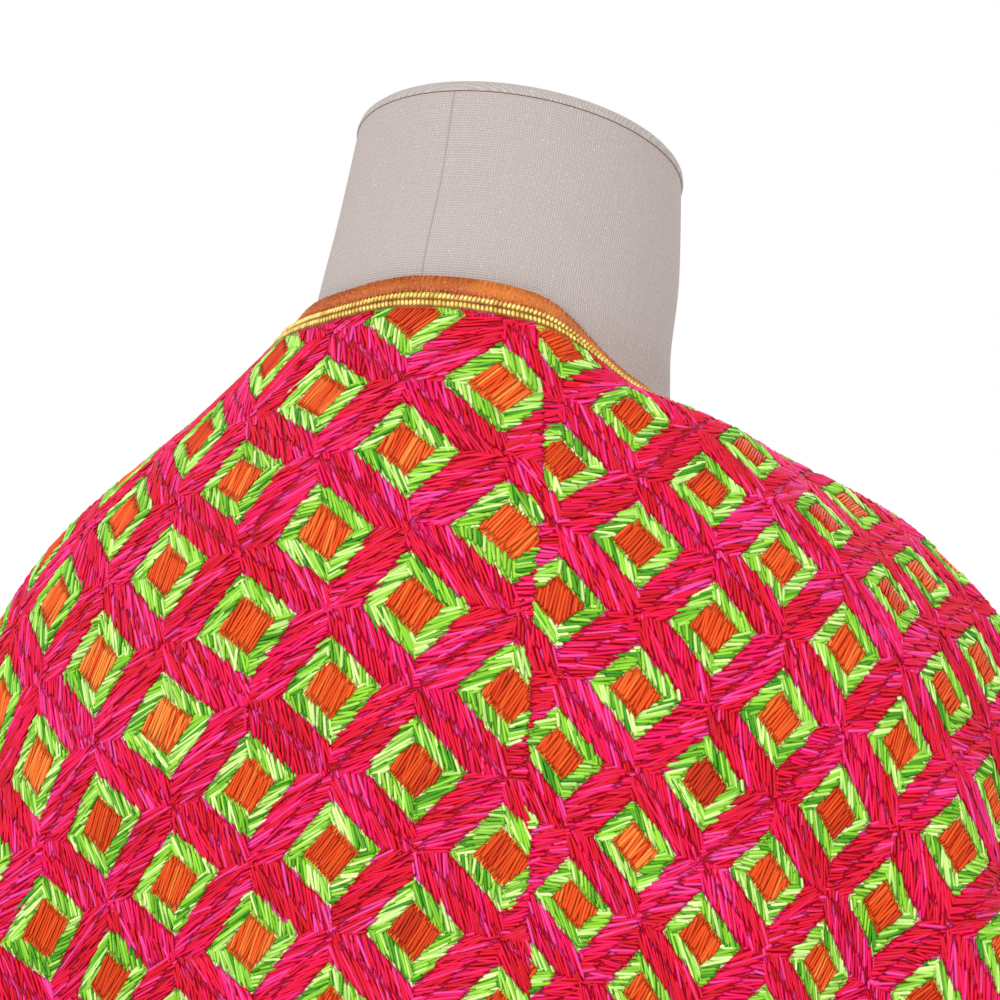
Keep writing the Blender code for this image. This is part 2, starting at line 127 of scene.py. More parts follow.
def sectionArc(angle, radius):
    spareEnd = cut["held"] * angleEnd - hangingEnd
    held = cut["held"] * angle - spareEnd * smooth((angle - 0.8) / (angleEnd - 0.8))
    back = np.clip(radius, cut["held"], cut["backHeld"]) - cut["held"]
    return held + back * angle * np.exp(-(angle / cut["backSpread"]) ** 2)


def fallShare(reach, distance, lean):
    speed = np.sin(lean)
    middle = np.maximum(distance, 1e-4) / speed
    first, last = 0.45 * middle, 1.55 * middle
    u = np.clip((reach - first) / (last - first), 0, 1)
    run = np.minimum(reach, first) + (last - first) * (u - u**3 + u**4 / 2)
    return np.clip(run * speed / np.maximum(distance, 1e-4), 0, 1)


def planOf(side, angle, reach):
    start = cut["apex"] / np.cos(angle)
    radius = start + reach
    edge = readCurve(side["edge"], cut["apex"] * np.tan(angle))
    arc = sectionArc(angle, radius)
    foot = readCurve(hanging, arc)
    near = readCurve(hanging, sectionArc(angle, start + 0.17))
    distance = np.hypot(near[..., 0] - edge[..., 0], near[..., 1] - edge[..., 1])
    lean = np.radians(np.interp(angle, leanRows[:, 0], leanRows[:, 1]))
    share = fallShare(reach, distance, lean)
    sideways = smooth(angle / 0.7)
    even = np.clip((radius - cut["apex"]) / (cut["held"] - cut["apex"]), 0, 1)
    shareX = (1 - sideways) * even + sideways * share
    x = edge[..., 0] + shareX * (foot[..., 0] - edge[..., 0])
    y = edge[..., 1] + share * (foot[..., 1] - edge[..., 1])
    return x, y, edge[..., 2], share, arc


rayAngles = np.linspace(0, angleEnd, 161)
reachStep = 0.005
reaches = np.arange(0, 1.42, reachStep)


def dropTable(side):
    angle, reach = np.meshgrid(rayAngles, reaches, indexing="ij")
    x, y, _, _, _ = planOf(side, angle, reach)
    out = np.hypot(np.diff(x, axis=1), np.diff(y, axis=1))
    down = np.sqrt(np.maximum(reachStep**2 - out**2, (0.25 * reachStep) ** 2))
    return np.concatenate([np.zeros((len(rayAngles), 1)), np.cumsum(down, axis=1)], axis=1)


def dropAt(side, angle, reach):
    i = np.clip(angle / rayAngles[1], 0, len(rayAngles) - 1.001)
    j = np.clip(reach / reachStep, 0, len(reaches) - 1.001)
    i0, j0 = i.astype(int), j.astype(int)
    a, b = i - i0, j - j0
    table = side["drop"]
    return ((1 - a) * (1 - b) * table[i0, j0] + a * (1 - b) * table[i0 + 1, j0]
            + (1 - a) * b * table[i0, j0 + 1] + a * b * table[i0 + 1, j0 + 1])


def makeSide(shift):
    crests, sizes = crestRows[:, shift], crestRows[:, 2 + shift]
    side = {"edge": edgeCurve(2 + shift), "roll": float(shift)}
    side["crests"] = np.concatenate([[-crests[0]], crests, [2 * angleEnd - crests[-1]]])
    side["sizes"] = np.concatenate([[sizes[0]], sizes, [sizes[-1]]])
    side["drop"] = dropTable(side)
    return side


def foldWave(side, angle):
    crests = side["crests"]
    i = np.clip(np.searchsorted(crests, angle) - 1, 0, len(crests) - 2)
    u = (angle - crests[i]) / (crests[i + 1] - crests[i])
    spacing = np.gradient(crests)
    size, span = (row[i] * (1 - smooth(u)) + row[i + 1] * smooth(u) for row in (side["sizes"], spacing))
    return (0.5 + 0.5 * np.cos(2 * pi * u)) * size, span


def sidePoints(side, s, t):
    angle = np.arctan2(s, t + cut["apex"])
    radius = np.hypot(s, t + cut["apex"])
    reach = radius - cut["apex"] / np.cos(angle)
    x, y, z, share, arc = planOf(side, angle, reach)
    z = z - dropAt(side, angle, reach)
    wave, span = foldWave(side, angle)
    low = np.maximum(angle - 0.01, 0)
    room = (sectionArc(angle + 0.01, radius) - sectionArc(low, radius)) / (angle + 0.01 - low)
    flare = cut["flare"] * smooth((radius - cut["flareFrom"]) / (cut["flareTo"] - cut["flareFrom"]))
    room = np.maximum(room, 0.05) * (1 + pi * flare / hanging[0][-1])
    spare = np.maximum((radius / room) ** 2 - cut["fullnessHeld"], 0)
    depth = cut["foldScale"] * span * room / pi * np.sqrt(2) * spare / np.sqrt(spare + 0.5)
    push = (depth * wave + flare) * smooth(share) * smooth(t / cut["foldStart"])
    out = sectionNormal(arc)
    # on the right the edge rolls forward over the shoulder
    window = smooth((angle - roll["from"]) / roll["soft"]) * (1 - smooth((angle - roll["to"]) / roll["soft"]))
    window = window * side["roll"]
    beyond = smooth(t / roll["dropWide"])
    z = z - roll["drop"] * window * (1 - beyond)
    z = z + roll["rise"] * window * beyond * (1 - smooth((t - roll["riseFrom"]) / roll["riseWide"]))
    return np.stack([x + push * out[..., 0], y + push * out[..., 1], z], -1)


leftSide, rightSide = makeSide(0), makeSide(1)


def drape(s, t):
    s, t = np.broadcast_arrays(np.asarray(s, float), np.asarray(t, float))
    place = np.empty(s.shape + (3,))
    left = s >= 0
    place[left] = sidePoints(leftSide, s[left], t[left])
    place[~left] = sidePoints(rightSide, -s[~left], t[~left]) * (-1, 1, 1)
    return place


# Soft ridges: flat s, t, direction in degrees, length, width, height
creases = np.array([
    (0.060, 0.120, 62, 0.110, 0.020, 0.0022), (-0.085, 0.150, 112, 0.120, 0.022, 0.0026),
    (0.150, 0.200, 48, 0.100, 0.018, 0.0024), (-0.030, 0.260, 84, 0.120, 0.024, 0.0020),
    (0.240, 0.240, 40, 0.120, 0.022, 0.0028), (-0.210, 0.170, 138, 0.090, 0.018, 0.0022),
    (-0.300, 0.300, 130, 0.140, 0.026, 0.0030), (0.360, 0.340, 44, 0.150, 0.030, 0.0032),
    (0.500, 0.300, 28, 0.110, 0.022, 0.0026), (-0.480, 0.420, 134, 0.160, 0.028, 0.0034),
    (0.100, 0.520, 78, 0.200, 0.034, 0.0036), (-0.160, 0.600, 104, 0.220, 0.030, 0.0034),
    (0.420, 0.660, 52, 0.200, 0.036, 0.0038), (-0.560, 0.700, 122, 0.180, 0.034, 0.0036),
    (0.760, 0.300, 18, 0.140, 0.026, 0.0028), (-0.780, 0.260, 160, 0.160, 0.024, 0.0026),
    (0.880, 0.620, 30, 0.180, 0.032, 0.0034), (-0.900, 0.560, 146, 0.180, 0.034, 0.0032),
])


def creaseHeight(s, t):
    total = np.zeros(np.shape(s))
    for s0, t0, turn, length, width, height in creases:
        along = (s - s0) * cos(radians(turn)) + (t - t0) * sin(radians(turn))
        across = (t - t0) * cos(radians(turn)) - (s - s0) * sin(radians(turn))
        bend = 0.18 * along**2 / length
        total += height * np.exp(-(along / length) ** 2) * np.exp(-((across - bend) / width) ** 2)
    return total * smooth((t - 0.01) / 0.05)


def onCloth(s, t, lift):
    # a place on the outer face of the cloth, lifted off it
    step = 0.0012
    s, t = np.asarray(s, float), np.asarray(t, float)
    towardS = drape(s + step, t) - drape(s - step, t)
    towardT = drape(s, np.maximum(t + step, 0)) - drape(s, np.maximum(t - step, 0))
    out = np.cross(towardS, towardT)
    out /= np.linalg.norm(out, axis=-1, keepdims=True)
    lift = cut["thick"] + creaseHeight(s, t) + lift
    return drape(s, t) + out * np.asarray(lift)[..., None], out


def intoScene(name, data):
    thing = bpy.data.objects.new(name, data)
    bpy.context.scene.collection.objects.link(thing)
    return thing


def operator(name, swapped=False):
    def apply(self, other):
        return self.graph.math(name, *((other, self) if swapped else (self, other)))
    return apply


class Value:
    def __init__(self, graph, socket):
        self.graph, self.socket = graph, socket

    __add__, __radd__ = operator("ADD"), operator("ADD", True)
    __sub__, __rsub__ = operator("SUBTRACT"), operator("SUBTRACT", True)
    __mul__, __rmul__ = operator("MULTIPLY"), operator("MULTIPLY", True)
    __truediv__, __rtruediv__ = operator("DIVIDE"), operator("DIVIDE", True)
    __pow__ = operator("POWER")

    def __abs__(self):
        return self.graph.math("ABSOLUTE", self)


class Nodes:
    def give(self, value, socket):
        if isinstance(value, Value):
            self.tree.links.new(value.socket, socket)
        elif isinstance(value, tuple) and socket.type == "RGBA":
            socket.default_value = (*value, 1)
        else:
            socket.default_value = value

    def node(self, kind, settings, inputs, output=0):
        made = self.tree.nodes.new(kind)
        for key, value in settings.items():
            setattr(made, key, value)
        for key, value in inputs.items():
            self.give(value, made.inputs[key])
        return Value(self, made.outputs[output])

    def vector(self, x, y, z):
        return self.node("ShaderNodeCombineXYZ", {}, {0: x, 1: y, 2: z})

    def math(self, operation, a, b=None, c=None):
        inputs = {k: v for k, v in enumerate((a, b, c)) if v is not None}
        return self.node("ShaderNodeMath", {"operation": operation}, inputs)


class Graph(Nodes):
    def __init__(self, name, roughness=0.6, metallic=0.0):
        self.material = bpy.data.materials.new(name)
        self.material.use_nodes = True
        self.tree = self.material.node_tree
        self.shader = self.tree.nodes["Principled BSDF"]
        self.shader.inputs["Roughness"].default_value = roughness
        self.shader.inputs["Metallic"].default_value = metallic

    def between(self, a, low, high):
        return self.node("ShaderNodeMapRange", {"interpolation_type": "SMOOTHSTEP"},
                         {"Value": a, "From Min": low, "From Max": high})

    def colour(self, factor, a, b):
        return self.node("ShaderNodeMix", {"data_type": "RGBA"}, {0: factor, 6: a, 7: b}, 2)

    def blended(self, factor, a, b):
        return self.node("ShaderNodeMix", {"data_type": "FLOAT"}, {0: factor, 2: a, 3: b}, 0)

    def split(self, value):
        made = self.tree.nodes.new("ShaderNodeSeparateXYZ")
        self.give(value, made.inputs[0])
        return [Value(self, socket) for socket in made.outputs]

    def toned(self, tone, colours):
        # dark to middle to light as the tone rises
        dark, middle, light = colours
        colour = self.colour(self.between(tone, 0.0, 0.5), dark, middle)
        return self.colour(self.between(tone, 0.5, 1.0), colour, light)

    def place(self):
        return self.node("ShaderNodeTexCoord", {}, {}, 3)

    def uv(self):
        return self.node("ShaderNodeUVMap", {"uv_map": "UVMap"}, {})

    def noise(self, place, scale, detail=2.0):
        return self.node("ShaderNodeTexNoise", {}, {"Vector": place, "Scale": scale, "Detail": detail})

    def speck(self, place):
        return self.node("ShaderNodeTexWhiteNoise", {"noise_dimensions": "3D"}, {"Vector": place})

    def tone(self, name):
        return self.node("ShaderNodeAttribute", {"attribute_name": name}, {}, 2)

    def finish(self, colour=None, height=None, depth=0.0005, strength=1.0, roughness=None):
        if colour is not None:
            self.give(colour, self.shader.inputs["Base Color"])
        if roughness is not None:
            self.give(roughness, self.shader.inputs["Roughness"])
        if height is not None:
            bump = self.node("ShaderNodeBump", {}, {"Strength": strength, "Distance": depth, "Height": height})
            self.give(bump, self.shader.inputs["Normal"])
        return self.material


class Recipe(Nodes):
    def __init__(self, name):
        self.tree = bpy.data.node_groups.new(name, "GeometryNodeTree")
        self.values = {}
        for way in ("INPUT", "OUTPUT"):
            self.tree.interface.new_socket("Geometry", in_out=way, socket_type="NodeSocketGeometry")
        self.start = self.tree.nodes.new("NodeGroupInput")
        self.end = self.tree.nodes.new("NodeGroupOutput")

    def take(self, name, kind, value):
        socket = self.tree.interface.new_socket(name, in_out="INPUT", socket_type="NodeSocket" + kind)
        self.values[socket.identifier] = value
        return Value(self, self.start.outputs[name])

    def shape(self):
        return Value(self, self.start.outputs["Geometry"])

    def named(self, name):
        return self.node("GeometryNodeInputNamedAttribute", {"data_type": "FLOAT_VECTOR"}, {"Name": name})

    def aimed(self, out, along):
        turned = self.node("FunctionNodeAlignRotationToVector", {"axis": "Z"}, {"Vector": out})
        return self.node("FunctionNodeAlignRotationToVector", {"axis": "X", "pivot_axis": "Z"},
                         {"Rotation": turned, "Vector": along})

    def path(self, pitch):
        curve = self.node("GeometryNodeMeshToCurve", {}, {"Mesh": self.shape()})
        return self.node("GeometryNodeResampleCurve", {"mode": "LENGTH"}, {"Curve": curve, "Length": pitch})

    def chance(self, low, high, seed):
        return self.node("FunctionNodeRandomValue", {"data_type": "FLOAT"}, {2: low, 3: high, "Seed": seed}, 1)

    def along(self):
        return self.aimed(self.named("out"), self.node("GeometryNodeInputTangent", {}, {}))

    def laid(self, curve, thing, turn, scale):
        placed = self.node("GeometryNodeInstanceOnPoints", {},
                           {"Points": curve, "Instance": thing, "Rotation": turn, "Scale": scale})
        self.last = self.node("GeometryNodeRealizeInstances", {}, {"Geometry": placed})

    def grow(self, path, name, material):
        # runs the recipe on a path and leaves a plain mesh
        self.give(self.node("GeometryNodeSetMaterial", {}, {"Geometry": self.last, "Material": material}),
                  self.end.inputs["Geometry"])
        modifier = path.modifiers.new("grow", "NODES")
        modifier.node_group = self.tree
        for identifier, value in self.values.items():
            modifier[identifier] = value
        shown = path.evaluated_get(bpy.context.evaluated_depsgraph_get())
        mesh = bpy.data.meshes.new_from_object(shown)
        mesh.name = name
        bpy.data.objects.remove(path, do_unlink=True)
        mesh.shade_smooth()
        piece = intoScene(name, mesh)
        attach(piece, "root")
        return piece


def rgb(r, g, b):
    # screen colour to linear
    return tuple(((c / 255 + 0.055) / 1.055) ** 2.4 if c > 10 else c / 255 / 12.92 for c in (r, g, b))


def makePiece(name, points, faces, materials, uv=None, tones=None, sharp=None):
    mesh = bpy.data.meshes.new(name)
    points, faces = np.asarray(points, float), np.asarray(faces, int)
    size = faces.shape[1]
    mesh.vertices.add(len(points))
    mesh.vertices.foreach_set("co", points.ravel())
    mesh.loops.add(faces.size)
    mesh.loops.foreach_set("vertex_index", faces.ravel())
    mesh.polygons.add(len(faces))
    mesh.polygons.foreach_set("loop_start", np.arange(0, faces.size, size))
    mesh.update(calc_edges=True)
    if uv is not None:
        layer = mesh.uv_layers.new(name="UVMap")
        layer.data.foreach_set("uv", np.asarray(uv, float)[faces.ravel()].ravel())
    for key, values in (tones or {}).items():
        mesh.attributes.new(key, "FLOAT", "POINT").data.foreach_set("value", np.asarray(values, float))
    mesh.validate()
    mesh.shade_smooth()
    if sharp:
        mesh.set_sharp_from_angle(angle=radians(sharp))
    piece = intoScene(name, mesh)
    for made in materials:
        mesh.materials.append(made)
    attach(piece, "root")
    return piece


def declare(piece, slotName, *nodes):
    if nodes:
        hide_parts(*nodes)


# The lattice of diamonds, in flat metres. Reach is the share of the way from a diamond's middle to its border.
# The cloth is joined from two widths; beside the join the pattern steps, and its cells differ in size.
lattice = {
    "orangeReach": 0.375, "greenReach": 0.675, "shaderCell": (0.0272, 0.0258),
    "joinStart": -0.0408, "joinSway": 0.0262, "joinOver": 0.09,
    "left": {"wide": 0.0305, "tall": 0.0266, "shape": (0.89, 1.0), "row": 0.0092, "column": -0.0019,
             "drift": 0.0219, "lean": 0.0, "slope": -0.068, "bow": -0.630, "low": -0.10, "high": 0.16},
    "right": {"wide": 0.0234, "tall": 0.0240, "shape": (0.91, 0.93), "row": -0.0002, "column": -0.0027,
              "drift": 0.0, "lean": 0.145, "slope": 0.243, "bow": 0.798, "low": -0.16, "high": 0.0},
}
thread = {
    "greenWidth": 0.00135, "redWidth": 0.00130, "orangeWidth": 0.00125,
    "sidePitch": 0.00176, "orangePitch": 0.00105, "shaderPitch": 0.00100, "height": 0.00060, "sunk": 0.00004,
    # directions of the stitches in degrees, in the flat plane with s to the left and t down
    "fallingSide": 105, "risingSide": 17, "orange": 58,
}
threadColours = {
    "orange": (rgb(190, 44, 6), rgb(226, 80, 14), rgb(244, 148, 60)),
    "green": (rgb(56, 140, 20), rgb(150, 214, 54), rgb(222, 248, 160)),
    "red": (rgb(184, 0, 26), rgb(214, 0, 38), rgb(228, 0, 66)),
    "pink": (rgb(214, 0, 60), rgb(230, 0, 94), rgb(234, 70, 160)),
}


def threadMaterial(name, colours, roughness=0.5):
    g = Graph(name, roughness)
    g.shader.inputs["Specular IOR Level"].default_value = 0.25
    tone = g.tone("tone")
    colour = g.toned(tone, colours)
    u, v, _ = g.split(g.uv())
    streak = g.noise(g.vector(u * 60.0, v * 1400.0, tone * 40.0), 1.0, 1.0)
    # painted shade: the thread turns towards its darkest tone in the low streaks between its strands, where the
    # bump sinks
    colour = g.colour(g.between(streak, 0.50, 0.32) * 0.40, colour, colours[0])
    return g.finish(colour, streak, 0.00022, 0.8)


def patternCoordinates(g, s, t):
    join = lattice["joinStart"] - (1.0 - g.math("EXPONENT", t / -lattice["joinOver"])) * lattice["joinSway"]
    onLeft = g.math("GREATER_THAN", s, join)
    places = []
    for key in ("left", "right"):
        side = lattice[key]
        held = g.math("MINIMUM", g.math("MAXIMUM", s, side["low"]), side["high"])
        run = g.between(t, 0.0, 0.13) * side["drift"] + g.math("MINIMUM", t, 0.3) * side["lean"]
        p = (s + run - side["column"]) / side["wide"]
        q = (t + held * side["slope"] + held * held * side["bow"] - side["row"]) / side["tall"]
        places.append((p, q))
    shape = [g.blended(onLeft, lattice["right"]["shape"][k], lattice["left"]["shape"][k]) for k in (0, 1)]
    p = g.blended(onLeft, places[1][0], places[0][0])
    q = g.blended(onLeft, places[1][1], places[0][1])
    a, b = (p + q) * 0.5, (p - q) * 0.5
    cellA, cellB = g.math("ROUND", a), g.math("ROUND", b)
    ragged = (g.noise(g.vector(0.0, t * 420.0, 0.0), 1.0, 2.0) - 0.5) * 0.0016
    return a - cellA, b - cellB, shape, cellA, cellB, g.between(abs(s - join + ragged), 0.0011, 0.0001)


def stripes(g, across, along, pitch, seed, cellA, cellB):
    wobble = (g.noise(g.vector(across * 90.0, along * 60.0, seed), 1.0, 1.0) - 0.5) * 0.9
    line = across / pitch + wobble
    index = g.math("FLOOR", line)
    part = line - index
    height = 1.0 - (part * 2.0 - 1.0) ** 2.0
    tone = g.speck(g.vector(index + seed, cellA, cellB))
    return height, tone


def clothMaterial():
    g = Graph("phulkari_field", 0.55)
    g.shader.inputs["Specular IOR Level"].default_value = 0.25
    s, t, _ = g.split(g.uv())
    ua, ub, shape, cellA, cellB, join = patternCoordinates(g, s, t)
    reach = g.math("MAXIMUM", abs(ua), abs(ub)) * 2.0
    ds = (ua + ub) * lattice["shaderCell"][0]
    dt = (ua - ub) * lattice["shaderCell"][1]
    ragged = (g.noise(g.vector(s * 900.0, t * 900.0, 0.0), 1.0, 2.0) - 0.5) * 0.10
    edge = reach + ragged
    inner = abs(ua + ub) / shape[0] + abs(ua - ub) / shape[1] + ragged
    # a falling side is where s and t grow together, seen from behind
    falling = g.math("GREATER_THAN", abs(ua), abs(ub))
    height, tone = [], []
    for key, seed in (("fallingSide", 3.0), ("risingSide", 7.0), ("orange", 11.0)):
        turn = radians(thread[key])
        across = dt * cos(turn) - ds * sin(turn)
        along = ds * cos(turn) + dt * sin(turn)
        pitch = thread["orangePitch"] if key == "orange" else thread["shaderPitch"]
        h, n = stripes(g, across, along, pitch, seed, cellA, cellB)
        height.append(h)
        tone.append(n)
    sideHeight = g.blended(falling, height[1], height[0])
    sideTone = g.blended(falling, tone[1], tone[0])
    patch = g.noise(g.vector(s * 55.0, t * 55.0, 4.0), 1.0, 2.0)
    pinkness = g.between(patch + (sideTone - 0.5) * 0.35, 0.46, 0.60)

    red, pink = (g.toned(sideTone, threadColours[key]) for key in ("red", "pink"))
    field = g.colour(pinkness, red, pink)
    # painted shade: darker red at the border of each cell, in the valley where the bands of neighbouring
    # diamonds meet
    field = g.colour(g.between(edge, 0.93, 1.02) * 0.45, field, rgb(140, 0, 22))
    inGreen = g.between(inner, lattice["greenReach"] + 0.015, lattice["greenReach"] - 0.015)
    inOrange = g.between(inner, lattice["orangeReach"] + 0.012, lattice["orangeReach"] - 0.012)
    colour = g.colour(inGreen, field, g.toned(sideTone, threadColours["green"]))
    colour = g.colour(inOrange, colour, g.toned(tone[2] * 0.6 + 0.2, threadColours["orange"]))
    h = g.blended(inOrange, sideHeight, height[2])
    # painted shade: dark red where the stitch stripes' bump is low, in the grooves between stitches
    colour = g.colour(g.between(h, 0.42, 0.0) * 0.55, colour, rgb(96, 0, 16))
    # painted shade: darker red along the join of the two widths, in its groove
    colour = g.colour(join * 0.3, colour, rgb(130, 0, 24))
    return g.finish(colour, h - join * 0.3, 0.0006, 0.9)


def reverseMaterial():
    # plain cotton on the side that the photo hides
    g = Graph("cloth_reverse", 0.8)
    s, t, _ = g.split(g.uv())
    weave = g.math("SINE", s * 7400.0) + g.math("SINE", t * 7400.0)
    patch = g.noise(g.vector(s * 30.0, t * 30.0, 1.0), 1.0, 3.0)
    colour = g.colour(g.between(patch, 0.3, 0.7), rgb(150, 14, 34), rgb(172, 22, 44))
    return g.finish(colour, weave, 0.0001, 0.5)


def fineNet():
    # rays down the folds, from the corner of the right end round to the corner of the left end
    perFold, rows = 22, 104
    points, faces, columns = [], [], []
    corner = float(np.arctan2(cut["length"] / 2, cut["apex"] + cut["width"]))

    def stations(side):
        marks = np.concatenate([[0], side["crests"][1:-1], [angleEnd]])
        angles = [0.0]
        for k, (low, high) in enumerate(zip(marks, marks[1:])):
            steps = perFold // 2 if k in (0, len(marks) - 2) else perFold
            angles += list(low + (high - low) * (np.arange(steps) + 1) / steps)
        angles = np.array(angles)
        angles[np.argmin(np.abs(angles - corner))] = corner
        return angles

    angles = np.concatenate([-stations(rightSide)[:0:-1], stations(leftSide)])
    share = np.linspace(0, 1, rows + 1) ** 1.25
    for angle in angles:
        if abs(angle) == angleEnd:
            columns.append([len(points)] * (rows + 1))
            points.append((np.sign(angle) * cut["length"] / 2, 0.0))
            continue
        first = cut["apex"] / cos(angle)
        last = (cut["apex"] + cut["width"]) / cos(angle)
        if abs(angle) > corner:
            last = cut["length"] / 2 / abs(sin(angle))
        columns.append([len(points) + k for k in range(rows + 1)])
        for radius in first + (last - first) * share:
            points.append((radius * sin(angle), max(radius * cos(angle) - cut["apex"], 0.0)))
    for left, right in zip(columns, columns[1:]):
        for j in range(rows):
            for face in ((left[j], right[j], right[j + 1]), (left[j], right[j + 1], left[j + 1])):
                if len(set(face)) == 3:
                    faces.append(face)
    ring = [c[0] for c in columns] + [c[-1] for c in columns[-2:0:-1]]
    return np.array(points), np.array(faces), ring


def shawlCloth():
    flat, faces, ring = fineNet()
    outer, out = onCloth(flat[:, 0], flat[:, 1], 0.0)
    inner = outer - cut["thick"] * out
    count = len(flat)
    rim = []
    for a, b in zip(ring, ring[1:] + ring[:1]):
        rim += [(b, a, a + count), (b, a + count, b + count)]
    allFaces = np.concatenate([faces, faces[:, ::-1] + count, np.array(rim)])
    piece = makePiece("shawlCloth", np.concatenate([outer, inner]), allFaces,
                      [clothMaterial(), reverseMaterial()], uv=np.concatenate([flat, flat]), sharp=60)
    side = np.zeros(len(allFaces), int)
    side[len(faces):2 * len(faces)] = 1
    piece.data.polygons.foreach_set("material_index", side)
    turnOutward(piece)
    return piece


def turnOutward(piece, weld=0):
    work = bmesh.new()
    work.from_mesh(piece.data)
    if weld:
        bmesh.ops.remove_doubles(work, verts=work.verts[:], dist=weld)
    bmesh.ops.recalc_face_normals(work, faces=work.faces[:])
    if work.calc_volume(signed=True) < 0:
        bmesh.ops.reverse_faces(work, faces=work.faces[:])
    work.to_mesh(piece.data)
    work.free()


cloth = shawlCloth()
declare(cloth, "field", "shawl_panel")
print("cloth", len(cloth.data.polygons))


def clipped(low, high, start, slope, limit):
    # the part of each line on which start + way * slope stays above limit
    cross = (limit - start) / np.where(np.abs(slope) < 1e-9, 1e-9, slope)
    return (np.where(slope > 0, np.maximum(low, cross), low),
            np.where(slope < 0, np.minimum(high, cross), high))


def joinAt(t):
    return lattice["joinStart"] - lattice["joinSway"] * (1 - np.exp(-t / lattice["joinOver"]))


def patternSteps(side, s, t):
    held = np.clip(s, side["low"], side["high"])
    acrossStep = side["drift"] * smooth(t / 0.13) + side["lean"] * np.minimum(t, 0.3) - side["column"]
    downStep = side["slope"] * held + side["bow"] * held**2 - side["row"]
    return acrossStep, downStep


def toFlat(side, place):
    s, t = place[..., 0], place[..., 1]
    for _ in range(6):
        acrossStep, downStep = patternSteps(side, s, np.maximum(t, 0))
        s, t = place[..., 0] - acrossStep, place[..., 1] - downStep
    return s, t


def laid(side, middle, turn, low, high, centres, tone, lift):
    # stitches that are long enough, as flat ends in the pattern's own plane
    way = np.stack([np.cos(turn), np.sin(turn)], -1)
    place = middle + centres
    s, t = toFlat(side, place)
    acrossStep, downStep = patternSteps(side, s, np.maximum(t, 0))
    low, high = clipped(low, high, place[..., 1], way[..., 1], cut["braid"] + 0.0003 + downStep)
    sign = 1.0 if side is lattice["left"] else -1.0
    line = joinAt(np.maximum(t, 0)) + acrossStep
    low, high = clipped(low, high, sign * (place[..., 0] - line), sign * way[..., 0], 0.0005 - 6 * lift)
    mid = place + ((low + high) / 2)[..., None] * way
    keep = (high - low > 0.0022) & (mid[..., 1] > cut["braid"] + downStep) & (sign * (mid[..., 0] - line) > 0)
    first = (place + low[..., None] * way)[keep]
    last = (place + high[..., None] * way)[keep]
    return first, last, tone[keep], lift[keep]


def bandStitches(rng, side, centres, inner, outer, spill, blunt=1.1):
    # slanted stitches across the four sides of the band between two diamonds, given by their half sizes
    mid = (inner + outer) / 2
    batches = []
    for sign in np.array([(1, 1), (1, -1), (-1, -1), (-1, 1)]):
        run = mid * (-sign[0], sign[1])
        count = int(1.9 * np.linalg.norm(run) / thread["sidePitch"])
        share = np.linspace(-0.45, 1.45, count)[None, :] + rng.normal(0, 0.014, (len(centres), count))
        middle = np.array([sign[0] * mid[0], 0.0]) + share[..., None] * run
        base = thread["fallingSide"] if sign[0] == sign[1] else thread["risingSide"]
        turn = np.radians(base + rng.normal(0, 6.0, share.shape) + rng.normal(0, 5.0, (len(centres), 1)))
        way = np.stack([np.cos(turn), np.sin(turn)], -1)
        ends = []
        for half, spread in ((inner, 0.030), (outer, spill)):
            reach = 1 + rng.normal(0, spread, share.shape)
            ends.append((reach - middle @ (sign / half)) / (way @ (sign / half)))
        low, high = np.minimum(*ends), np.maximum(*ends)
        for axis in (0, 1):
            low, high = clipped(low, high, sign[axis] * middle[..., axis], sign[axis] * way[..., axis], -0.0009)
            low, high = clipped(low, high, -sign[axis] * middle[..., axis], -sign[axis] * way[..., axis],
                                -blunt * outer[axis])
        tone = rng.uniform(0, 1, share.shape)
        lift = rng.uniform(0, 0.0003, share.shape)
        batches.append(laid(side, middle, turn, low, high, centres[:, None, :], tone, lift))
    return [np.concatenate(rows) for rows in zip(*batches)]


def orangeStitches(rng, side, centres, half):
    base = radians(thread["orange"])
    count = int(1.42 * half.sum() / thread["orangePitch"])
    offset = (np.arange(count) - (count - 1) / 2) * thread["orangePitch"]
    offset = offset[None, :] + rng.normal(0, 0.00014, (len(centres), count))
    turn = base + np.radians(rng.normal(0, 3.0, offset.shape)) + np.radians(rng.normal(0, 7, (len(centres), 1)))
    middle = offset[..., None] * np.array([-sin(base), cos(base)])
    way = np.stack([np.cos(turn), np.sin(turn)], -1)
    low, high = np.full(offset.shape, -0.03), np.full(offset.shape, 0.03)
    for sign in np.array([(1, 1), (1, -1), (-1, 1), (-1, -1)]):
        limit = -1 - rng.normal(0, 0.035, offset.shape)
        low, high = clipped(low, high, middle @ (sign / half), way @ (sign / half), limit)
    tone = np.clip(rng.normal(0.42, 0.14, offset.shape) + rng.normal(0, 0.20, (len(centres), 1)), 0, 1)
    lift = rng.uniform(0, 0.0002, offset.shape)
    return laid(side, middle, turn, low, high, centres[:, None, :], tone, lift)


# Along the stitch, to either side as a share of its width, and height as a share of the thread's
stitchForm = ((0.0, 0, 0.0), (0.16, 1, 0.15), (0.20, 0, 1.0), (0.16, -1, 0.15),
              (0.84, 1, 0.15), (0.80, 0, 1.0), (0.84, -1, 0.15), (1.0, 0, 0.0))
stitchUv = {"beside": 0.0006, "shift": 7}


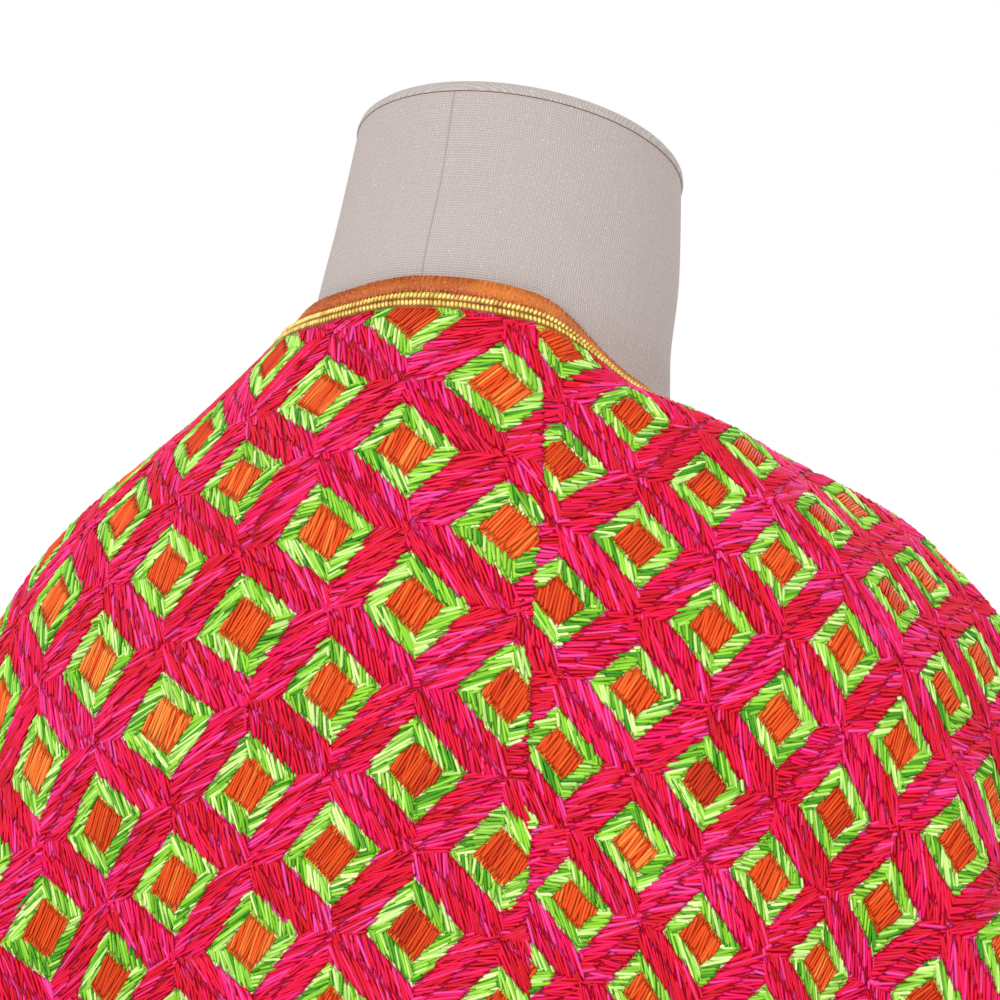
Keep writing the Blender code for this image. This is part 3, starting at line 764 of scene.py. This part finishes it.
def stitchPiece(name, batches, width, material):
    points, uv, tones = [], [], []
    for side, (first, last, tone, lift) in batches:
        along = last - first
        size = np.linalg.norm(along, axis=1, keepdims=True)
        beside = np.stack([-along[:, 1], along[:, 0]], 1) / size * width / 2
        corners, flat = [], []
        for share, aside, height in stitchForm:
            s, t = toFlat(side, first + share * along + aside * beside)
            corners.append(onCloth(s, np.maximum(t, 0), lift + height * thread["height"] - thread["sunk"])[0])
            flat.append(np.stack([share * size[:, 0] + tone,
                                  aside * stitchUv["beside"] + tone * stitchUv["shift"]], -1))
        points.append(np.stack(corners, 1).reshape(-1, 3))
        uv.append(np.stack(flat, 1).reshape(-1, 2))
        tones.append(np.repeat(tone, 8))
    points = np.concatenate(points)
    form = np.array([(0, 3, 2), (0, 2, 1), (3, 6, 5), (3, 5, 2), (2, 5, 4), (2, 4, 1),
                     (6, 7, 5), (5, 7, 4), (0, 1, 3), (1, 4, 6), (1, 6, 3), (7, 6, 4)])
    faces = (np.arange(len(points) // 8)[:, None, None] * 8 + form[None]).reshape(-1, 3)
    return makePiece(name, points, faces, [material], uv=np.concatenate(uv),
                     tones={"tone": np.concatenate(tones)})


zone = {"wide": 0.30, "tall": 0.36}


def embroidery():
    rng = np.random.default_rng(7)
    batches = {"Green": [], "Orange": [], "Red": [], "Pink": []}
    for key, sign in (("left", 1), ("right", -1)):
        side = lattice[key]
        hs, ht = side["wide"], side["tall"]
        i, j = np.meshgrid(np.arange(-16, 17), np.arange(-2, 22), indexing="ij")
        centres = np.stack([i * hs, j * ht], -1)[(i + j) % 2 == 0]
        s, t = toFlat(side, centres)
        beyond = sign * (s - joinAt(np.maximum(t, 0)))
        centres = centres[(beyond > -0.03) & (np.abs(s) < zone["wide"]) & (t > -0.03) & (t < zone["tall"])]
        centres = centres + rng.normal(0, 0.0006, centres.shape)
        cell = np.array([hs, ht])
        orange, green = (lattice[reach] * cell * side["shape"] for reach in ("orangeReach", "greenReach"))
        batches["Green"].append((side, bandStitches(rng, side, centres, orange, green, 0.055, 0.93)))
        batches["Orange"].append((side, orangeStitches(rng, side, centres, orange)))
        field = bandStitches(rng, side, centres, green, cell, 0.034)
        middles = (field[0] + field[1]) / 2
        x, y = middles.T
        patch = np.sin(x * 95 + 2.2 * np.sin(y * 61)) + np.sin(y * 113 + 1.7 * np.sin(x * 47))
        patch = patch + rng.normal(0, 1.5, len(middles))
        pink = patch > 0.2
        batches["Red"].append((side, [row[~pink] for row in field]))
        batches["Pink"].append((side, [row[pink] for row in field]))
    made = []
    for key, width in (("Green", "greenWidth"), ("Orange", "orangeWidth"),
                       ("Red", "redWidth"), ("Pink", "redWidth")):
        material = threadMaterial("thread_" + key.lower(), threadColours[key.lower()])
        piece = stitchPiece("stitches" + key, batches[key], thread[width], material)
        made.append(piece)
        print(piece.name, len(piece.data.polygons))
    return made


stitched = embroidery()


def loopPlan(spacing):
    # stations round the cloth's border: flat s, t and the inward direction there
    half, width = cut["length"] / 2, cut["width"]
    corners = [((-half, 0.0), (half, 0.0), (0, 1)), ((half, 0.0), (half, width), (-1, 0)),
               ((half, width), (-half, width), (0, -1)), ((-half, width), (-half, 0.0), (1, 0))]
    stations = []
    for start, end, inward in corners:
        start, end = np.array(start), np.array(end)
        count = int(np.linalg.norm(end - start) / spacing)
        for share in np.linspace(0, 1, count + 1):
            stations.append((*(start + share * (end - start)), *inward))
    return np.array(stations, float)


def insideBorder(stations, offset):
    half, width = cut["length"] / 2, cut["width"]
    s = np.clip(stations[:, 0] + offset * stations[:, 2], -half + offset, half - offset)
    t = np.clip(stations[:, 1] + offset * stations[:, 3], offset, width - offset)
    return s, t


def band(name, rings, material, slotName, nodes):
    # a closed ring-shaped bar from its profile points, each a row of stations
    points = np.stack(rings, 1)
    count, size = points.shape[:2]
    faces = []
    for k in range(count):
        n = (k + 1) % count
        for j in range(size):
            m = (j + 1) % size
            faces += [(k * size + j, n * size + j, n * size + m), (k * size + j, n * size + m, k * size + m)]
    piece = makePiece(name, points.reshape(-1, 3), faces, [material], sharp=70)
    turnOutward(piece)
    declare(piece, slotName, *nodes)
    return piece


def pathMesh(points, out):
    mesh = bpy.data.meshes.new("path")
    edges = [(k, (k + 1) % len(points)) for k in range(len(points))]
    mesh.from_pydata([tuple(p) for p in points], edges, [])
    mesh.attributes.new("out", "FLOAT_VECTOR", "POINT").data.foreach_set("vector", out.ravel())
    return intoScene("path", mesh)


def distinct(stations, least=1e-4):
    # leaves out stations that fall on the one before
    return np.linalg.norm(stations - np.roll(stations, 1, axis=0), axis=1) > least


goldBraid = {"pitch": 0.0015, "rows": (0.00152, 0.00442), "lift": 0.00040, "knot": (0.00070, 0.00130, 0.00090),
             "slant": 15, "seed": 3}


def goldMaterial(name, dark, light):
    g = Graph(name, 0.38, 0.2)
    place = g.place()
    tone = g.noise(place, 300.0, 1.0)
    return g.finish(g.colour(g.between(tone, 0.30, 0.65), rgb(*dark), rgb(*light)))


def braidPieces():
    stations = loopPlan(0.004)
    profile = ((0.0002, -0.0001), (0.0006, 0.0006), (0.0026, 0.0005), (0.0029, 0.0001), (0.0032, 0.0005),
               (0.0055, 0.0006), (0.0059, -0.0001))
    material = goldMaterial("gold_braid", (214, 170, 60), (246, 222, 124))
    # painted shade: the braid's base band is coloured dark so that the gaps between the knots read as shade
    ground = goldMaterial("gold_ground_painted_shade", (116, 70, 16), (146, 96, 26))
    rings = [onCloth(*insideBorder(stations, offset), lift)[0] for offset, lift in profile]
    base = band("goldBraid", rings, ground, "gold_braid",
                ["braid_neck", "braid_hem", "braid_end_left", "braid_end_right"])
    knots = []
    for k, offset in enumerate(goldBraid["rows"]):
        s, t = insideBorder(stations, offset)
        keep = distinct(np.stack([s, t], 1))
        place, out = onCloth(s[keep], t[keep], goldBraid["lift"])
        r = Recipe("knots" + str(k))
        pitch = r.take("Pitch", "Float", goldBraid["pitch"])
        size = r.take("Size", "Vector", goldBraid["knot"])
        slant = r.take("Slant", "Float", radians(goldBraid["slant"] * (1 if k else -1)))
        seed = r.take("Seed", "Int", goldBraid["seed"] + k)
        curve = r.path(pitch)
        knot = r.node("GeometryNodeMeshIcoSphere", {}, {"Radius": 1.0, "Subdivisions": 1})
        knot = r.node("GeometryNodeTransform", {}, {"Geometry": knot, "Scale": size})
        knot = r.node("GeometryNodeTransform", {}, {"Geometry": knot, "Rotation": r.vector(0.0, 0.0, slant)})
        r.laid(curve, knot, r.along(), r.chance(0.94, 1.06, seed))
        piece = r.grow(pathMesh(place, out), "goldKnots" + "AB"[k], material)
        knots.append(piece)
        print("gold knots", len(piece.data.polygons))
    return [base, *knots]


copperEdge = {"pitch": 0.00085, "strand": (0.00034, 0.00034, 0.00330), "sway": 0.13, "seed": 5}


def copperMaterial():
    g = Graph("copper_thread", 0.40, 0.1)
    place = g.place()
    slow, fine = g.noise(place, 26.0, 2.0), g.noise(place, 1500.0, 1.0)
    colour = g.colour(g.between(slow, 0.35, 0.65), rgb(178, 84, 20), rgb(216, 122, 38))
    # painted highlight and painted shade: the fine grain that drives the bump is painted lighter on its raised
    # places and darker in its low ones
    colour = g.colour(g.between(fine, 0.56, 0.78) * 0.7, colour, rgb(242, 172, 92))
    colour = g.colour(g.between(fine, 0.42, 0.22) * 0.7, colour, rgb(116, 42, 10))
    return g.finish(colour, fine, 0.0002, 0.6)


def edgingPieces():
    stations = loopPlan(0.004)
    edge, out = onCloth(stations[:, 0], stations[:, 1], -cut["thick"] / 2)
    # the corner stations look straight in along their own side
    s = stations[:, 0] + 0.004 * stations[:, 2]
    t = stations[:, 1] + 0.004 * stations[:, 3]
    straight, _ = onCloth(s, t, -cut["thick"] / 2)
    away = edge - straight
    away /= np.linalg.norm(away, axis=1, keepdims=True)
    # two more stations turn the band round each corner
    rows = {"edge": [], "away": [], "out": []}
    for k in range(len(stations)):
        n = (k + 1) % len(stations)
        turns = (0.0,) if np.linalg.norm(edge[k] - edge[n]) > 1e-5 else (0.0, 0.33, 0.67)
        for share in turns:
            way = away[k] * (1 - share) + away[n] * share
            rows["edge"].append(edge[k])
            rows["away"].append(way / np.linalg.norm(way))
            rows["out"].append(out[k])
    edge, away, out = (np.array(rows[key]) for key in ("edge", "away", "out"))
    width, half = cut["edging"], 0.00062
    profile = ((0.0000, -0.5), (0.0000, 0.5), (0.15, 0.95), (0.50, 1.05), (0.86, 0.85), (1.00, 0.3),
               (1.00, -0.3), (0.86, -0.85), (0.50, -1.05), (0.15, -0.95))
    material = copperMaterial()
    rings = [edge + w * width * away + h * half * out for w, h in profile]
    base = band("copperEdging", rings, material, "copper_thread",
                ["edging_neck", "edging_hem", "edging_end_left", "edging_end_right"])
    middle = edge + 0.5 * width * away + 0.9 * half * out
    r = Recipe("strands")
    pitch = r.take("Pitch", "Float", copperEdge["pitch"])
    size = r.take("Size", "Vector", copperEdge["strand"])
    sway = r.take("Sway", "Float", copperEdge["sway"])
    seed = r.take("Seed", "Int", copperEdge["seed"])
    curve = r.path(pitch)
    strand = r.node("GeometryNodeMeshCylinder", {}, {"Vertices": 4, "Radius": 1.0, "Depth": 2.0})
    strand = r.node("GeometryNodeTransform", {}, {"Geometry": strand, "Scale": size})
    strand = r.node("GeometryNodeTransform", {}, {"Geometry": strand, "Rotation": (pi / 2, 0.0, 0.0)})
    turn = r.along()
    angle = r.chance(-1.0, 1.0, seed)
    turn = r.node("FunctionNodeRotateRotation", {"rotation_space": "LOCAL"},
                  {"Rotation": turn, "Rotate By": r.vector(0.0, 0.0, angle * sway)})
    r.laid(curve, strand, turn, r.chance(0.93, 1.02, seed))
    keep = distinct(middle, 1e-5)
    strands = r.grow(pathMesh(middle[keep], out[keep]), "copperStrands", material)
    print("copper strands", len(strands.data.polygons))
    return [base, strands]


trims = braidPieces() + edgingPieces()

# The dress form, from the top of the neck down: z, y, half width, half depth, tilt, square
formRows = np.array([
    (1.4615, -0.0240, 0.0572, 0.0572, 23, 2.0), (1.4290, -0.0145, 0.0605, 0.0590, 25, 2.0),
    (1.3990, -0.0020, 0.0625, 0.0605, 25, 2.0), (1.3720, 0.0000, 0.0670, 0.0630, 16, 2.0),
    (1.3480, -0.0010, 0.0960, 0.0700, 8, 2.1), (1.3250, -0.0020, 0.1384, 0.0810, 3, 2.3),
    (1.2950, -0.0030, 0.1686, 0.0900, 0, 2.25), (1.2500, -0.0040, 0.1800, 0.0960, 0, 2.3),
    (1.1700, -0.0050, 0.1740, 0.1000, 0, 2.3), (1.0800, -0.0070, 0.1560, 0.0960, 0, 2.2),
    (0.9800, -0.0050, 0.1300, 0.0840, 0, 2.1), (0.8900, -0.0030, 0.1460, 0.0920, 0, 2.2),
    (0.8000, -0.0030, 0.1640, 0.1000, 0, 2.3), (0.7400, -0.0030, 0.1640, 0.1000, 0, 2.3),
])
form = {"sides": 160, "fine": 7, "capThick": 0.005, "capOver": 0.0005, "capRound": 0.0036, "capDome": 0.0012,
        "seamWide": 0.0006}


def formRing(row, sides, grow=0.0):
    z, y, halfWidth, halfDepth, tilt, square = row
    a = np.linspace(0, 2 * pi, sides, endpoint=False)
    power = 2 / square
    x = (halfWidth + grow) * np.sign(np.sin(a)) * np.abs(np.sin(a)) ** power
    back = (halfDepth + grow) * np.sign(np.cos(a)) * np.abs(np.cos(a)) ** power
    turn = radians(tilt)
    return np.stack([x, y + back * cos(turn), z + back * sin(turn)], 1)


def linenMaterial(name, shade):
    g = Graph(name, 0.86)
    u, v, _ = g.split(g.uv())
    wander = (g.noise(g.vector(u * 70.0, v * 70.0, 0.0), 1.0, 2.0) - 0.5) * 3.0
    warp = g.math("SINE", u * (2 * pi / 0.00085) + wander) * 0.5 + 0.5
    weft = g.math("SINE", v * (2 * pi / 0.00090) + wander) * 0.5 + 0.5
    slubA = g.noise(g.vector(u * 1500.0, v * 60.0, 1.0), 1.0, 1.0)
    slubB = g.noise(g.vector(u * 60.0, v * 1500.0, 2.0), 1.0, 1.0)
    weave = warp * slubA + weft * slubB
    speck = g.noise(g.vector(u * 1100.0, v * 1100.0, 3.0), 1.0, 2.0)
    # partly the yarn's own uneven colour, partly painted shade: the weave is darker where its bump is low,
    # between the yarns, and lighter on them
    colour = g.colour(g.between(weave, 0.25, 0.85), rgb(*(c - 16 for c in shade)), rgb(*(c + 8 for c in shade)))
    # painted highlight: the small raised specks are painted lighter
    colour = g.colour(g.between(speck, 0.60, 0.75) * 0.5, colour, rgb(226, 216, 210))
    seam = g.between(abs(u), form["seamWide"] * 0.9, form["seamWide"] * 0.3)
    # painted shade: darker along the seam, in its sunk groove
    colour = g.colour(seam * 0.35, colour, rgb(126, 114, 112))
    return g.finish(colour, weave + speck * 0.4 - seam * 0.8, 0.00030, 0.8)


def formPieces():
    linen = linenMaterial("form_linen", (184, 172, 168))
    depth = np.arange(len(formRows), dtype=float)
    fine = np.linspace(0, len(formRows) - 1, (len(formRows) - 1) * form["fine"] + 1)
    rows = np.stack([through(depth, formRows[:, k], fine) for k in range(formRows.shape[1])], 1)
    rings = [formRing(row, form["sides"]) for row in rows]
    down = lengthsAlong(np.array([ring[0] for ring in rings]))
    points, uv, faces = [], [], []
    width = form["sides"] + 1
    for k, ring in enumerate(rings):
        closed = np.concatenate([ring, ring[:1]])
        around = lengthsAlong(closed)
        around = np.where(around > around[-1] / 2, around - around[-1], around)
        # the last column repeats the first, so that the weave's places run on at the seam
        points.append(closed)
        uv.append(np.stack([around, np.full(width, down[k])], 1))
    points, uv = np.concatenate(points), np.concatenate(uv)
    for k in range(len(rings) - 1):
        for j in range(form["sides"]):
            a, b = k * width + j, k * width + j + 1
            faces += [(a, a + width, b + width), (a, b + width, b)]
    for k, flip in ((0, False), (len(rings) - 1, True)):
        middle = len(points)
        points = np.concatenate([points, [rings[k].mean(axis=0)]])
        uv = np.concatenate([uv, [[0.0, 0.0]]])
        for j in range(form["sides"]):
            face = (k * width + j, k * width + j + 1, middle)
            faces.append(face[::-1] if flip else face)
    torso = makePiece("formTorso", points, faces, [linen], uv=uv)
    turnOutward(torso, weld=1e-6)
    torso.data.set_sharp_from_angle(angle=radians(50))
    declare(torso, "linen", "form_torso")

    # the neck cap, with a rounded rim and a slight dome
    top = formRows[0]
    axis = np.array([0, -sin(radians(top[4])), cos(radians(top[4]))])
    r = form["capRound"]
    levels = [(0.0003, -0.0012), (0.0003, form["capOver"] - 0.0002), (0.0007, form["capOver"]),
              (form["capThick"] - r, form["capOver"])]
    for turn in (30, 60, 90):
        levels.append((form["capThick"] - r * (1 - sin(radians(turn))),
                       form["capOver"] - r * (1 - cos(radians(turn)))))
    for share in (0.25, 0.5, 0.75, 0.93):
        levels.append((form["capThick"] + form["capDome"] * (1 - (1 - share) ** 2), -r - share * 0.052))
    capRings = [formRing(top, form["sides"], grow) + rise * axis for rise, grow in levels]
    piece = stacked("formNeckCap", capRings, linenMaterial("form_cap_linen", (182, 171, 167)))
    declare(piece, "linen", "form_neck_cap")
    return torso, piece


def stacked(name, rings, material, sharp=55):
    # closed piece through rings of points, capped at both ends; flat ends give the texture's places
    count, sides = len(rings), len(rings[0])
    points = np.concatenate([*rings, [rings[0].mean(axis=0)], [rings[-1].mean(axis=0)]])
    faces = []
    for k in range(count - 1):
        for j in range(sides):
            a, b = k * sides + j, k * sides + (j + 1) % sides
            faces += [(a, b, b + sides), (a, b + sides, a + sides)]
    for j in range(sides):
        n = (j + 1) % sides
        faces += [(n, j, count * sides), ((count - 1) * sides + j, (count - 1) * sides + n, count * sides + 1)]
    piece = makePiece(name, points, faces, [material], uv=points[:, :2] + 0.2, sharp=sharp)
    turnOutward(piece)
    return piece


formPieces()
print("form")

stand = {"poleRadius": 0.0125, "footRadius": 0.160, "footThick": 0.014, "bevel": 0.004, "socketRadius": 0.026,
         "socketHeight": 0.030, "baseThick": 0.012, "gap": 0.0003}


def metalMaterial():
    g = Graph("stand_metal", 0.42, 0.7)
    place = g.place()
    grain = g.noise(place, 420.0, 3.0)
    colour = g.colour(g.between(grain, 0.35, 0.65), rgb(34, 34, 36), rgb(52, 52, 54))
    return g.finish(colour, grain, 0.00008, 0.5, roughness=g.between(grain, 0.0, 1.0) * 0.2 + 0.34)


def woodMaterial():
    g = Graph("base_wood", 0.5)
    place = g.place()
    x, y, z = g.split(place)
    grain = g.noise(g.vector(x * 14.0, y * 220.0, z * 220.0), 1.0, 3.0)
    colour = g.colour(g.between(grain, 0.3, 0.7), rgb(112, 72, 42), rgb(168, 118, 74))
    return g.finish(colour, grain, 0.0001, 0.4)


def lathed(rows, sides=96):
    turn = np.linspace(0, 2 * pi, sides, endpoint=False)
    return [np.stack([r * np.cos(turn), r * np.sin(turn), np.full(sides, z)], 1) for r, z in rows]


def rounded(radius, height, bevel):
    # radius and height down a rounded edge
    return [(radius + bevel * sin(radians(turn)), height - bevel * (1 - cos(radians(turn))))
            for turn in (0, 30, 60, 90)]


def standPieces():
    metal = metalMaterial()
    top = stand["footThick"]
    rows = [(stand["poleRadius"] + 0.0030, top + stand["socketHeight"])]
    rows += rounded(stand["poleRadius"] + 0.0042, top + stand["socketHeight"], 0.0033)
    rows += [(stand["socketRadius"] - 0.002, top + 0.012), (stand["socketRadius"], top + 0.004)]
    for turn in (30, 60, 90):
        rows.append((stand["socketRadius"] + 0.006 * (1 - cos(radians(turn))),
                     top + 0.004 * (1 - sin(radians(turn)))))
    rows += rounded(stand["footRadius"] - stand["bevel"], top, stand["bevel"])
    rows += [(stand["footRadius"], 0.0008), (stand["footRadius"] - 0.0008, 0.0)]
    foot = stacked("standFoot", lathed(rows, 128), metal, 40)
    declare(foot, "stand_metal", "stand_foot")
    low = top + stand["socketHeight"] + stand["gap"]
    high = formRows[-1][0] - stand["baseThick"] - 2 * stand["gap"]
    pole = stacked("standPole", lathed([(stand["poleRadius"], high), (stand["poleRadius"], (low + high) / 2),
                                        (stand["poleRadius"], low)], 64), metal, 40)
    declare(pole, "stand_metal", "stand_pole")
    row = formRows[-1]
    rings = []
    for rise, grow in ((0.0, -0.0010), (-0.0010, 0.0), (-0.0110, 0.0), (-0.0120, -0.0010)):
        rings.append(formRing(row, form["sides"], grow) + np.array([0, 0, rise - stand["gap"]]))
    board = stacked("formBaseBoard", rings, woodMaterial(), 35)
    declare(board, "base_board", "form_base_cap")


standPieces()
print("stand")

look = {"azimuth": 205, "away": 2.0, "lens": 208.7, "target": (-0.0031, -0.0015, 1.3447)}


def studio():
    floor = bpy.data.meshes.new("floor")
    floor.from_pydata([(-4, -4, 0), (4, -4, 0), (4, 4, 0), (-4, 4, 0)], [], [(0, 1, 2, 3)])
    ground = intoScene("floor", floor)
    g = Graph("floor", 0.9)
    ground.data.materials.append(g.finish(rgb(244, 243, 241)))
    world = bpy.data.worlds.new("studio")
    world.use_nodes = True
    world.node_tree.nodes["Background"].inputs["Color"].default_value = (1.0, 1.0, 1.0, 1)
    world.node_tree.nodes["Background"].inputs["Strength"].default_value = 1.0
    bpy.context.scene.world = world
    turn = radians(look["azimuth"])
    back = Vector((sin(turn), -cos(turn), 0))
    right = Vector((cos(turn), sin(turn), 0))
    centre = Vector((0, 0, 1.2))
    for name, side, front, up, size, power in (
        ("key", -1.3, 1.9, 1.3, 1.2, 26), ("fill", 1.7, 1.7, 0.3, 1.6, 8), ("rim", 0.4, -1.8, 1.5, 1.0, 10),
    ):
        lamp = bpy.data.lights.new(name, "AREA")
        lamp.size, lamp.energy = size, power
        thing = intoScene(name, lamp)
        thing.location = centre + right * side + back * front + Vector((0, 0, up))
        thing.rotation_mode = "QUATERNION"
        thing.rotation_quaternion = (centre - thing.location).to_track_quat("-Z", "Y")
    camera = bpy.data.cameras.new("camera")
    camera.lens, camera.sensor_width = look["lens"], 36
    camera.clip_start, camera.clip_end = 0.05, 50
    eye = intoScene("camera", camera)
    eye.location = Vector(look["target"]) + back * look["away"]
    eye.rotation_mode = "QUATERNION"
    eye.rotation_quaternion = (-back).to_track_quat("-Z", "Y")
    bpy.context.scene.camera = eye
    bpy.context.scene.view_settings.view_transform = "Standard"


studio()
print("studio")
